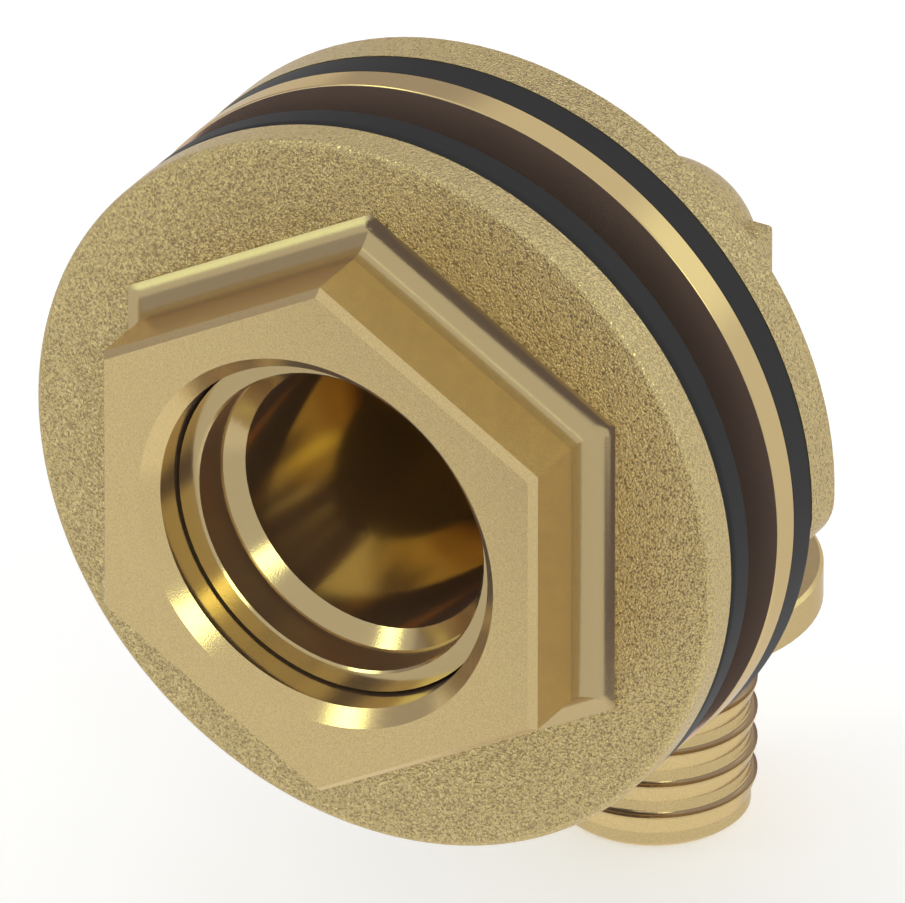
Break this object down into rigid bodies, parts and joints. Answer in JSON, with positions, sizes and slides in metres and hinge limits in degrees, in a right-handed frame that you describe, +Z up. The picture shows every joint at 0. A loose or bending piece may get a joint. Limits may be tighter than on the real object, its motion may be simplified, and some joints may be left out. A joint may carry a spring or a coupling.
{
  "type": "cistern angle connector",
  "caption": "Brass elbow that clamps in a cistern wall with a flange nut, washer and rubber seals, and turns the supply down to a barbed pipe nipple.",
  "frame": {"origin": "on the spigot's axis, in the plane where the clamp washer meets the outside of the cistern wall", "axes": "+Y along the spigot, from the nut to the back of the elbow; +Z up, so the pipe nipple points along -Z; X across the flanges"},
  "size_m": [0.05, 0.0542, 0.0656],
  "materials": {
    "cast_brass": "blasted sand casting, with turned nipple and port",
    "turned_brass": "turned",
    "nut_brass": "blasted casting with a milled hexagon",
    "black_rubber": "satin"
  },
  "bodies": {
    "elbow": {"elbow_body": "cast_brass", "rear_gasket": "black_rubber", "clamp_washer": "turned_brass"},
    "front_seal": {"front_gasket": "black_rubber"},
    "nut": {"flange_nut": "nut_brass"}
  },
  "joints": [
    {"name": "gasket_slide", "type": "slide", "parent": "elbow", "child": "front_seal", "axis": [0, 1, 0], "range_m": [-0.00635, 0.00363]},
    {"name": "nut_turn", "type": "hinge", "parent": "front_seal", "child": "nut", "pos_m": [0, 0, 0], "axis": [0, 1, 0], "range_deg": [-1260, 720]}
  ],
  "couplings": [
    {"joint": "gasket_slide", "follows": "nut_turn", "m_per_rad": 0.00028875}
  ]
}
